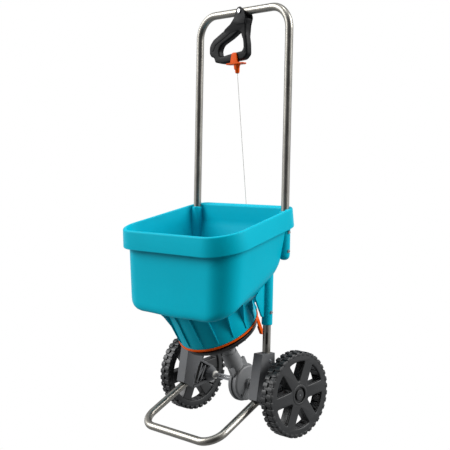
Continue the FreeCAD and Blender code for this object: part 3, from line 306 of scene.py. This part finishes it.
class Solid:
    """Closed mesh islands in drawing millimetres."""

    def __init__(self):
        self.verts = []
        self.faces = []

    def add(self, verts, faces):
        base = len(self.verts)
        self.verts += [Vector(v) for v in verts]
        self.faces += [tuple(base + i for i in f) for f in faces]

    def rings(self, rings, ring_of_rings=False):
        """Quads between loops of equal count, with capped ends unless the rings close on themselves."""
        n = len(rings[0])
        verts = [v for ring in rings for v in ring]
        faces = []
        pairs = list(zip(range(len(rings)), range(1, len(rings))))
        if ring_of_rings:
            pairs.append((len(rings) - 1, 0))
        for a, b in pairs:
            for i in range(n):
                j = (i + 1) % n
                faces.append((a * n + i, a * n + j, b * n + j, b * n + i))
        if not ring_of_rings:
            faces.append(tuple(range(n)))
            faces.append(tuple((len(rings) - 1) * n + i for i in reversed(range(n))))
        self.add(verts, faces)

    def lathe(self, profile, place, steps=48):
        """A (radius, height) profile turned round an axis; place(x, y, h) puts it in the drawing."""
        rings = []
        for radius, height in profile:
            rings.append([place(radius * math.cos(2 * math.pi * k / steps),
                                radius * math.sin(2 * math.pi * k / steps), height) for k in range(steps)])
        self.rings(rings, ring_of_rings=True)

    def prism(self, outline, place, low, high, bevel=0.8, holes=(), steps=3):
        """An outline with holes between two heights, with rounded edges; place(u, v, h) puts it."""
        loops = [outline if area_of(outline) > 0 else outline[::-1]]
        loops += [h if area_of(h) < 0 else h[::-1] for h in holes]
        levels = []
        for k in range(steps + 1):
            t = math.pi / 2 * k / steps
            levels.append((bevel * (1 - math.sin(t)), low + bevel * (1 - math.cos(t))))
        levels += [(i, low + high - h) for i, h in reversed(levels)]
        verts, faces, rows = [], [], []
        for depth, height in levels:
            row = []
            for loop in loops:
                start = len(verts)
                verts += [place(u, v, height) for u, v in inset(loop, depth)]
                row.append(range(start, len(verts)))
            rows.append(row)
        for a, b in zip(rows, rows[1:]):
            for la, lb in zip(a, b):
                n = len(la)
                faces += [(la[i], la[(i + 1) % n], lb[(i + 1) % n], lb[i]) for i in range(n)]
        for row, (depth, _) in ((rows[0], levels[0]), (rows[-1], levels[-1])):
            flat = [[Vector((u, v, 0)) for u, v in inset(loop, depth)] for loop in loops]
            index = [i for r in row for i in r]
            faces += [tuple(index[i] for i in tri) for tri in tessellate_polygon(flat)]
        self.add(verts, faces)

    def mesh(self, name):
        """The islands as one mesh, with doubled points joined and faces turned outwards."""
        mesh = bpy.data.meshes.new(name)
        mesh.from_pydata([metres(v) for v in self.verts], [], self.faces)
        bm = bmesh.new()
        bm.from_mesh(mesh)
        bmesh.ops.remove_doubles(bm, verts=bm.verts, dist=1e-6)
        bmesh.ops.dissolve_degenerate(bm, edges=bm.edges, dist=1e-7)
        bmesh.ops.recalc_face_normals(bm, faces=bm.faces)
        bm.to_mesh(mesh)
        bm.free()
        return mesh


def piece(name, solid, body, slot, stands_for=(), crease=32):
    """Makes a solid into an object that rides on a body and stands for CAD nodes."""
    mesh = solid.mesh(name) if isinstance(solid, Solid) else solid
    mesh.materials.append(MATERIALS[slot])
    mesh.shade_smooth()
    mesh.set_sharp_from_angle(angle=math.radians(crease))
    obj = bpy.data.objects.new(name, mesh)
    bpy.context.scene.collection.objects.link(obj)
    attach(obj, body)
    if stands_for:
        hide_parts(*stands_for)
    return obj


def carve(obj, cutter):
    """Cuts the cutter's closed solids out of a piece."""
    tool_mesh = cutter.mesh(obj.name + "_tool")
    tool = bpy.data.objects.new(obj.name + "_tool", tool_mesh)
    bpy.context.scene.collection.objects.link(tool)
    cut = obj.modifiers.new("cut", "BOOLEAN")
    cut.operation = "DIFFERENCE"
    cut.solver = "EXACT"
    cut.object = tool
    bpy.context.view_layer.update()
    made = bpy.data.meshes.new_from_object(obj.evaluated_get(bpy.context.evaluated_depsgraph_get()))
    obj.modifiers.clear()
    old = obj.data
    name = old.name
    obj.data = made
    bpy.data.meshes.remove(old)
    made.name = name
    bpy.data.objects.remove(tool)
    bpy.data.meshes.remove(tool_mesh)


# --- hopper -------------------------------------------------------------------
RIM_H = 452.0
SKIRT_H = 46.0
ARC, RUN = 12, 12      # points along each corner and each straight side


WALL = 3.0
SLEEVE_X = 159.4       # the handle's sleeves
STAND_X = 132.0        # the stand's sleeves and the webs
STAND_Y = -49.0
FLOOR_TOP = 185.5      # the neck's floor along the spinner axis
FLOOR_UNDER = FLOOR_TOP - WALL
NECK_R = 105.0
THROAT_R = NECK_R + WALL
SHAFT_HOLE_R = 9.1
FIN_COUNT = 16


def tub_outline(front, rear, corner_front, corner_rear, grow):
    """The rounded outline of the tub, wider at the front, always with the same number of points."""
    fy, fx, ry, rx = front[0] - grow, front[1] + grow, rear[0] + grow, rear[1] + grow
    corners = [Vector(p) for p in ((-fx, fy), (fx, fy), (rx, ry), (-rx, ry))]
    radii = [corner_front + grow, corner_front + grow, corner_rear + grow, corner_rear + grow]
    arcs = []
    for i, here in enumerate(corners):
        back = (corners[i - 1] - here).normalized()
        ahead = (corners[(i + 1) % 4] - here).normalized()
        half = back.angle(ahead) / 2
        reach = radii[i] / math.tan(half)
        middle = here + (back + ahead).normalized() * (radii[i] / math.sin(half))
        a = here + back * reach - middle
        turn = math.pi - 2 * half
        arcs.append([(middle.x + a.x * math.cos(turn * k / ARC) - a.y * math.sin(turn * k / ARC),
                      middle.y + a.x * math.sin(turn * k / ARC) + a.y * math.cos(turn * k / ARC))
                     for k in range(ARC + 1)])
    out = []
    for i, arc in enumerate(arcs):
        out += arc
        a, b = Vector(arc[-1]), Vector(arcs[(i + 1) % 4][0])
        out += [tuple(a.lerp(b, k / RUN)) for k in range(1, RUN)]
    return out


def rim_ring(height, grow, rear_grow=0.0, side_grow=0.0):
    loop = tub_outline((-175.6, 208.4), (119.7 + rear_grow, 178.0 + side_grow), 70.0, 42.0, grow)
    return [rim((x, y, height)) for x, y in loop]


LOW_S = 294.0          # lower edge of the tub along the spinner axis
THROAT_S = 248.0       # where the neck meets the tub's underside
THROAT_SLOPE = -0.327


def low_ring(grow, lift=0.0):
    loop = tub_outline((-124.0, 190.0), (146.0, 158.0), 60.0, 40.0, grow)
    return [spin((x, y, LOW_S + lift)) for x, y in loop]


def neck_ring(radius, height, slope=0.0):
    angles = []
    for start, end, steps in ((215, 235, ARC + 1), (235, 305, RUN), (305, 325, ARC + 1), (325, 395, RUN),
                              (395, 415, ARC + 1), (415, 485, RUN), (485, 505, ARC + 1), (505, 575, RUN)):
        if steps == RUN:
            angles += [start + (end - start) * k / RUN for k in range(1, RUN)]
        else:
            angles += [start + (end - start) * k / ARC for k in range(ARC + 1)]
    out = []
    for a in angles:
        x, y = radius * math.cos(math.radians(a)), radius * math.sin(math.radians(a))
        out.append(spin((x, y, height + slope * y)))
    return out


def soften(rings, radii, steps=5):
    """Rounds each ring of a stack of rings, so that the section has no sharp corner."""
    out = []
    count = len(rings)
    for i, ring in enumerate(rings):
        if radii[i] <= 0:
            out.append(ring)
            continue
        for k in range(steps + 1):
            t = k / steps
            loop = []
            for p, back, ahead in zip(ring, rings[i - 1], rings[(i + 1) % count]):
                a = p + (back - p).normalized() * min(radii[i], 0.45 * (back - p).length)
                b = p + (ahead - p).normalized() * min(radii[i], 0.45 * (ahead - p).length)
                loop.append(a * (1 - t) ** 2 + p * 2 * t * (1 - t) + b * t ** 2)
            out.append(loop)
    return out


def hopper_shell():
    """The tub, funnel and neck as one moulding, with its outlets and the notch for the lever."""
    stack = [
        (neck_ring(SHAFT_HOLE_R, FLOOR_TOP), 0), (neck_ring(NECK_R - WALL, FLOOR_TOP), 5),
        (neck_ring(NECK_R, THROAT_S + 2.4, THROAT_SLOPE), 9), (low_ring(-WALL, 2.4), 24),
        (rim_ring(RIM_H - SKIRT_H, -12.0, -18.0), 9), (rim_ring(RIM_H, -9.0, -14.0), 3.2),
        (rim_ring(RIM_H, 0.0), 3.6), (rim_ring(RIM_H - SKIRT_H, 9.0, -10.0, -9.0), 1.4),
        (rim_ring(RIM_H - SKIRT_H, 6.0, -10.0, -9.0), 1.2), (rim_ring(RIM_H - 4.0, -3.2), 1.2),
        (rim_ring(RIM_H - 4.0, -5.8, -14.0), 1.2), (rim_ring(RIM_H - SKIRT_H, -9.0, -18.0), 9),
        (low_ring(0.0), 24), (neck_ring(THROAT_R, THROAT_S, THROAT_SLOPE), 6),
        (neck_ring(NECK_R, FLOOR_UNDER), 1.0), (neck_ring(SHAFT_HOLE_R, FLOOR_UNDER), 0)]
    rings = soften([s[0] for s in stack], [s[1] for s in stack])
    shell = Solid()
    shell.rings(rings, ring_of_rings=True)
    obj = piece("hopper_moulding", shell, "frame", "teal_plastic", ("hopper",), 28)
    cutter = Solid()
    for side in (-1, 1):
        cutter.prism([(side * 14, -60), (side * 44, -60), (side * 44, -42), (side * 14, -42)],
                     lambda u, v, h: spin((u, v, h)), 180, 188, 0.0)
    cutter.prism([(-6, 97), (6, 97), (6, 115), (-6, 115)], lambda u, v, h: spin((u, v, h)), 181, 188.5, 0.0)
    carve(obj, cutter)


def upright(x, y):
    """Places a turned shape on a vertical axis."""
    return lambda u, v, h: (x + u, y + v, h)


def hopper_trim():
    """The four tube sleeves, the webs, the lever's lugs and the fins under the funnel."""
    trim = Solid()
    for side in (-1, 1):
        trim.lathe([(10.1, 452.5), (0.4, 452.5), (0.4, 441), (6, 441.8), (11, 445), (13.8, 450),
                    (14.5, 456), (14.5, 559),
                    (14.1, 561), (13, 562), (11, 562.4), (10.1, 562.4)], upright(side * SLEEVE_X, HANDLE_Y))
        trim.lathe([(10.1, 279), (11.5, 279), (12.6, 279.4), (13.3, 280.6), (13.5, 282), (13.5, 411),
                    (12.4, 416),
                    (9, 419.4), (0.4, 420.4), (0.4, 407.5), (10.1, 407.5)], upright(side * STAND_X, STAND_Y))
        web = rounded_polygon([(-56, 300), (-70, 300), (-95, 348), (-86, 362), (-60, 388), (-54, 388)], 4)
        x = side * STAND_X
        trim.prism(web, lambda u, v, h: (h, u, v), x - 2.5, x + 2.5, 0.9)
        lug = rounded_polygon([(102, 232), (102, 188), (109.5, 184), (109.5, 150), (123, 150), (123, 160),
                               (112, 234)], 2.5)
        trim.prism(lug, lambda u, v, h: spin((h, u, v)), *sorted((side * 19, side * 23)), 0.7)
    for k in range(FIN_COUNT):
        a = math.radians(360 / FIN_COUNT * k)
        ca, sa = math.cos(a), math.sin(a)
        wall = min(174 / max(abs(ca), 1e-6), (124 if sa < 0 else 146) / max(abs(sa), 1e-6))
        root = THROAT_S + THROAT_SLOPE * THROAT_R * sa
        part = 0.36 if sa < 0.2 else 0.14
        reach = THROAT_R + part * (wall - THROAT_R)
        under = root + part * (LOW_S - root)
        fin = rounded_polygon([(104, 190), (107.4, 190), (109.5, 212), ((106 + reach) / 2 + 1, under - 26),
                               (reach, under + 1.2), (107, root + 1.2), (105, root - 8)],
                              [0.6, 1, 12, 20, 1.2, 0.6, 0.6])
        trim.prism(fin, lambda u, v, h: spin((u * ca - h * sa, u * sa + h * ca, v)), -1.5, 1.5, 0.5)
    piece("hopper_sleeves_and_ribs", trim, "frame", "teal_plastic", (), 35)


hopper_shell()
hopper_trim()


# --- wheels -------------------------------------------------------------------
WHEEL_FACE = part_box("drive_wheel")[1].x * 1000


TREAD_WIDTH = 35.0
TREAD_R = 107.35
WINDOWS = 6
WINDOW_R = 84.5
WINDOW_APEX = 31.0
WINDOW_HALF = math.radians(19.5)
FIRST_WINDOW = 98.0    # degrees
LUGS = 36


def window_outlines():
    """Rounded triangles that point at the hub."""
    out = []
    for k in range(WINDOWS):
        t = math.radians(FIRST_WINDOW + 360 / WINDOWS * k)
        arc = [(WINDOW_R * math.cos(t + WINDOW_HALF * q), WINDOW_R * math.sin(t + WINDOW_HALF * q))
               for q in (-1, -0.33, 0.33, 1)]
        apex = (WINDOW_APEX * math.cos(t), WINDOW_APEX * math.sin(t))
        out.append(rounded_polygon(arc + [apex], [2.5, 30, 30, 2.5, 4], 5))
    return out


def wheel(name, side, body, stands_for):
    """A moulded wheel: smooth disc with six deep windows, hub ring and two rows of staggered lugs."""
    face, inner = WHEEL_FACE, WHEEL_FACE - TREAD_WIDTH

    def place(u, v, h):
        return (side * h, u, AXLE_Z + v)

    def turned(degrees):
        c, s = math.cos(math.radians(degrees)), math.sin(math.radians(degrees))
        return lambda u, v, h: place(u * c - v * s, u * s + v * c, h)

    windows = window_outlines()
    disc = Solid()
    disc.prism(circle(104.4, 120), place, face - 8, face - 0.9, 2.6, windows + [circle(22.6, 60)], 5)
    disc.prism(circle(WINDOW_R, 120), place, face - 28, face - 5, 1.6, windows, 4)
    for low, high in ((26.0, 19.6), (13.6, 9.4)):
        disc.lathe([(high, face - 7), (high, face - 1.4), (high + 0.5, face - 0.4), (high + 1.2, face - 0.15),
                    (low - 1.6, face - 0.15), (low - 0.5, face - 0.5), (low, face - 1.4), (low, face - 7)],
                    place, 64)
    disc.lathe([(10.2, 156.2), (17.4, 156.2), (19, 158), (19, inner + 15), (10.2, inner + 15)], place)
    disc.lathe([(28, face - 27), (28.8, face - 29.4), (31.2, face - 29.4), (32, face - 27)], place, 96)
    disc.lathe([(84, inner + 4.5), (85.4, inner + 3), (99, inner + 2), (102.4, inner + 3.4),
                (103.6, inner + 6),
                (103.6, face - 7), (102.6, face - 4.6), (99.6, face - 3.4), (84, face - 5)], place, 120)
    piece(name, disc, body, "rubber", stands_for, 35)
    tread = Solid()
    middle = inner + TREAD_WIDTH / 2
    for row in (0, 1):
        for k in range(LUGS):
            low, high = (inner + 0.2, middle - 1.2) if row == 0 else (middle + 1.2, face - 0.4)
            out = 1 if row else -1
            top = rounded_polygon([(-6.4, low), (6.4, low), (5.6, high), (-5.6, high)] if row
                                  else [(-5.6, low), (5.6, low), (6.4, high), (-6.4, high)], 1.6, 3)
            at = turned(360 / LUGS * (k + row / 2))
            edge = high if row else low
            tread.prism(top, lambda u, v, h: at(u, h, v - out * max(0.0, h - 104.0) * 0.35
                                                * max(0.0, 1 - abs(v - edge) / 9.0)), 98.0, TREAD_R, 1.1,
                                                (), 2)
    for k in range(2 * LUGS):
        at = turned(180 / LUGS * (k + 0.5))
        tread.prism([(-1.5, middle - 1.9), (1.5, middle - 1.9), (1.5, middle + 1.9), (-1.5, middle + 1.9)],
                    lambda u, v, h: at(u, h, v), 100.5, 105.2, 0.5, (), 2)
    piece(name + "_lugs", tread, body, "rubber", (), 35)


def axle_end_pins():
    """The bright ends of the axle in the middle of both hub caps."""
    pins = Solid()
    for end in (-1, 1):
        pins.lathe([(0.2, WHEEL_FACE - 2.2), (1.7, WHEEL_FACE - 2.2), (1.7, WHEEL_FACE - 0.7),
                    (1.3, WHEEL_FACE - 0.2), (0.2, WHEEL_FACE - 0.1)], lambda u, v,
                    h: (end * h, u, AXLE_Z + v), 24)
    piece("axle_end_pins", pins, "drive", "bright_steel")


wheel("drive_wheel_moulding", 1, "drive", ("drive_wheel",))
wheel("free_wheel_moulding", -1, "free", ("free_wheel",))
axle_end_pins()


# --- trigger and cord ---------------------------------------------------------
PIVOT_Z = 1068.5
CLIP_X = -17.0
CORD_R = 0.75
STRANDS = 3
STRAND_R = 0.4
STRAND_OUT = 0.34      # from the cord's middle to a strand's
STRAND_LAY = 7.0       # length of one full twist


def ear_side(side):
    """Places an ear on one side of the handle bar, sinking to the grip's middle lower down."""
    def at(u, v, h):
        sink = 4.4 * min(1.0, max(0.0, (-v - 26) / 24))
        return (u, HANDLE_Y + side * (h - sink * (h - 7.0) / 7.7), PIVOT_Z + v)
    return at


def trigger():
    """The squeeze grip with its finger opening and the two ears round the handle bar."""
    def flat(u, v, h):
        return (u, HANDLE_Y + h, PIVOT_Z + v)

    outline = rounded_polygon(
        [(-28, -26), (-101, -64), (-114.2, -79), (-114.5, -100), (-108, -108), (-97, -112), (-92, -124),
         (-66, -129.5), (-40, -127), (12, -123), (25.7, -112), (24, -83), (18, -52), (19, -32), (22.5, -18),
         (-4, -18), (-14, -22)],
        [14, 26, 20, 12, 8, 7, 6, 40, 60, 16, 14, 60, 50, 30, 4, 4, 12], 6)
    opening = rounded_polygon(
        [(-4, -48), (5, -59), (12, -90), (6, -101), (-33, -105), (-74, -111), (-78, -95), (-71, -81),
         (-34, -65)],
        [5, 14, 12, 9, 30, 6, 14, 20, 40], 6)
    grip = Solid()
    grip.prism(outline, flat, -9.9, 9.9, 4.6, [opening], 6)
    spine = rounded_polygon([(-30, -36), (-96, -71), (-105, -82), (-104, -97), (-96, -92), (-90, -80),
                             (-34, -52)], 5, 5)
    grip.prism(spine, flat, -10.6, 10.6, 1.4, (), 3)
    stem = rounded_polygon([(14, -40), (13, -56), (19, -84), (20, -106), (14, -106), (12.6, -84),
                            (8.4, -58)], 2.6, 4)
    grip.prism(stem, flat, -10.5, 10.5, 1.2, (), 3)
    ear = rounded_polygon([(2, 12), (-8, 10), (-14, -1), (-20, -16), (-32, -29), (-62, -45), (-46, -55),
                           (-10, -47),
                           (2, -52), (9, -70), (18, -68), (18.5, -34), (22.5, -16), (17, -2)],
                          [8, 8, 8, 20, 30, 4, 6, 12, 8, 3, 3, 30, 10, 10], 5)
    for side in (-1, 1):
        grip.prism(ear, ear_side(side), 10.8, 14.7, 1.6, (), 4)
    bridge = rounded_polygon([(-20, -20), (-26, -27), (-10, -33.5), (18, -33.5), (21, -20), (10, -17),
                              (-8, -17)], 3, 4)
    grip.prism(bridge, flat, -14.2, 14.2, 1.5, (), 4)
    piece("trigger_moulding", grip, "trigger", "grip_plastic", ("trigger_grip",), 40)


def cord_clip():
    """The orange clip under the grip: a front tongue, two wings and the stem that holds the cord."""
    clip = Solid()
    tongue = rounded_polygon([(-31, 937), (-3.4, 937), (-8.6, 964.5), (-25.4, 964.5)], [2, 2, 6.5, 6.5], 6)
    clip.prism(tongue, lambda u, v, h: (u, h, v), -36.1, -32.3, 1.3, (), 4)
    wings = rounded_polygon([(-48, -35), (-41, -36.1), (7, -36.1), (14, -35), (14, -20), (4, -14.2),
                             (-38, -14.2),
                             (-48, -20)], [5, 5, 5, 5, 6, 6, 6, 6], 5)
    clip.prism(wings, lambda u, v, h: (u, v, h), 934.7, 938.1, 1.2, (), 4)
    clip.lathe([(3.3, 912.6), (3.8, 912.2), (4.9, 913.2), (5.8, 915.4), (6.0, 918), (6.0, 926), (6.5, 931),
                (8.2, 935.5),
                (3.0, 936.0), (3.0, 915)], upright(CLIP_X, HANDLE_Y), 40)
    clip.prism(rounded_polygon([(-20, 921), (-14, 921), (-11.5, 936), (-22.5, 936)], 1.5),
               lambda u, v, h: (u, h, v), -31.5, -26.5, 0.8)
    clip.lathe([(2.0, 937), (5.2, 937), (5.2, 952.4), (4.3, 954.2), (2.0, 954.4)],
               upright(CLIP_X, HANDLE_Y), 32)
    piece("cord_clip_moulding", clip, "trigger", "orange_plastic", ("cord_clip",), 35)


def cord():
    """The pull cord as three twisted strands along the straight line of the CAD rod."""
    low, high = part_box("pull_cord")
    top = Vector((low.x * 1000 + CORD_R, low.y * 1000 + CORD_R - AXLE_Y, high.z * 1000))
    bottom = Vector((high.x * 1000 - CORD_R, high.y * 1000 - CORD_R - AXLE_Y, low.z * 1000))
    along = (bottom - top).normalized()
    side = along.cross(Vector((0, 1, 0))).normalized()
    other = along.cross(side)
    length = (bottom - top).length
    steps = int(length / 0.9)
    strands = Solid()
    for strand in range(STRANDS):
        rings = []
        for k in range(steps + 1):
            s = length * k / steps
            a = 2 * math.pi * (s / STRAND_LAY + strand / STRANDS)
            out = side * math.cos(a) + other * math.sin(a)
            middle = top + along * s + out * STRAND_OUT
            across = along.cross(out)
            rings.append([middle + (out * math.cos(t) + across * math.sin(t)) * STRAND_R
                          for t in (2 * math.pi * q / 7 for q in range(7))])
        strands.rings(rings)
    piece("pull_cord_strands", strands, "cord", "cord_fibre", ("pull_cord",), 60)


trigger()
cord_clip()
cord()


# --- spinner ------------------------------------------------------------------
SPINNER_S = 150.0      # the dish along the spinner axis
VANES = 8
VANE_CURVE = 70.0
VANE_INNER = 67.6


def spinner():
    """The spreading dish with its turned-up rim and eight curved vanes."""
    def at(x, y, h):
        return spin((x, y, SPINNER_S + h))

    dish = Solid()
    dish.lathe([(4.1, -10), (13, -10), (14, -9), (14, -1.5), (18, -0.2), (60, 1.4), (84, 3), (93, 5.4),
                (97.6, 9),
                (99.4, 14), (99.6, 17.2), (98.6, 18.4), (97.2, 17.4), (96, 13), (92, 9), (82, 6), (30, 3.6),
                (15.5, 3.4), (13.2, 6), (12, 19.6), (11, 21), (4.1, 21)], at, 96)
    for k in range(VANES):
        turn = math.radians(360 / VANES * k)
        c, d = math.cos(turn), math.sin(turn)
        outer = [(VANE_CURVE * math.sin(math.radians(a)), VANE_CURVE - VANE_CURVE * math.cos(math.radians(a)))
                 for a in range(10, 85, 4)]
        inner = [(u * VANE_INNER / VANE_CURVE, VANE_CURVE - (VANE_CURVE - v) * VANE_INNER / VANE_CURVE)
                 for u, v in outer]
        dish.prism(outer + inner[::-1], lambda u, v, h: at(u * c - v * d, u * d + v * c, h), 2.5, 20, 0.7)
    piece("spinner_moulding", dish, "spinner", "black_plastic", ("spinner_disc",), 35)


spinner()


# --- stage --------------------------------------------------------------------
CAMERA_PLACE = (1665.99, -1712.57, 640.76)
CAMERA_TURN = (45.4458, 2.9311, 1.1455)        # yaw, pitch and roll in degrees


def camera():
    """The photograph's viewpoint."""
    data = bpy.data.cameras.new("camera")
    data.lens = 73.19
    data.sensor_width = 36.0
    data.clip_start, data.clip_end = 0.05, 60.0
    cam = bpy.data.objects.new("camera", data)
    bpy.context.scene.collection.objects.link(cam)
    yaw, pitch, roll = (math.radians(a) for a in CAMERA_TURN)
    forward = Vector((-math.sin(yaw) * math.cos(pitch), math.cos(yaw) * math.cos(pitch), -math.sin(pitch)))
    right = Vector((math.cos(yaw), math.sin(yaw), 0))
    up = right.cross(forward)
    x = right * math.cos(roll) + up * math.sin(roll)
    y = up * math.cos(roll) - right * math.sin(roll)
    rows = [[x[i], y[i], -forward[i]] for i in range(3)]
    cam.matrix_world = Matrix.Translation(metres(CAMERA_PLACE)) @ Matrix(rows).to_4x4()
    bpy.context.scene.camera = cam


def sun(name, towards, strength, spread):
    """A wide, soft sun that shines from a direction."""
    data = bpy.data.lights.new(name, "SUN")
    data.energy = strength
    data.angle = math.radians(spread)
    lamp = bpy.data.objects.new(name, data)
    bpy.context.scene.collection.objects.link(lamp)
    lamp.rotation_euler = Vector(towards).to_track_quat("Z", "Y").to_euler()


def studio():
    """Surroundings that the camera sees as white, and that light the part from all sides but the camera's."""
    world = bpy.data.worlds.new("world")
    world.use_nodes = True
    tree = world.node_tree

    def node(kind, **values):
        made = tree.nodes.new(kind)
        for name, value in values.items():
            setattr(made, name, value)
        return made

    def ramp(value, low, high, to_low, to_high):
        made = node("ShaderNodeMapRange", interpolation_type="SMOOTHSTEP")
        for name, number in zip(("From Min", "From Max", "To Min", "To Max"), (low, high, to_low, to_high)):
            made.inputs[name].default_value = number
        tree.links.new(value, made.inputs["Value"])
        return made.outputs["Result"]

    def combine(kind, a, b):
        made = node("ShaderNodeMath", operation=kind)
        tree.links.new(a, made.inputs[0])
        tree.links.new(b, made.inputs[1])
        return made.outputs[0]

    way = node("ShaderNodeTexCoord").outputs["Generated"]
    split = node("ShaderNodeSeparateXYZ")
    tree.links.new(way, split.inputs[0])
    facing = node("ShaderNodeVectorMath", operation="DOT_PRODUCT")
    facing.inputs[1].default_value = (0.71, -0.70, 0.0)
    tree.links.new(way, facing.inputs[0])
    sides = ramp(facing.outputs["Value"], 0.3, 0.9, 0.95, 0.1)
    band = ramp(split.outputs["Z"], 0.05, 0.3, 1.0, 0.4)
    ground = ramp(split.outputs["Z"], -0.35, -0.05, 0.45, 1.0)
    top = ramp(split.outputs["Z"], 0.45, 0.95, 0.0, 0.3)
    strength = combine("ADD", combine("MULTIPLY", combine("MULTIPLY", sides, band), ground), top)
    back = tree.nodes["Background"]
    back.inputs["Color"].default_value = (0.95, 0.97, 1.0, 1)
    tree.links.new(strength, back.inputs["Strength"])
    plain = node("ShaderNodeBackground")
    plain.inputs["Color"].default_value = (1, 1, 1, 1)
    mix = node("ShaderNodeMixShader")
    rays = node("ShaderNodeLightPath")
    tree.links.new(rays.outputs["Is Camera Ray"], mix.inputs["Fac"])
    tree.links.new(back.outputs["Background"], mix.inputs[1])
    tree.links.new(plain.outputs["Background"], mix.inputs[2])
    tree.links.new(mix.outputs["Shader"], tree.nodes["World Output"].inputs["Surface"])
    bpy.context.scene.world = world
    sun("key", (-0.8, -0.75, 0.6), 3.1, 40)
    sun("fill", (0.8, 0.5, 0.6), 3.3, 40)
    sun("top", (0.1, -0.15, 1.0), 0.8, 15)
    bpy.context.scene.view_settings.view_transform = "Standard"


camera()
studio()
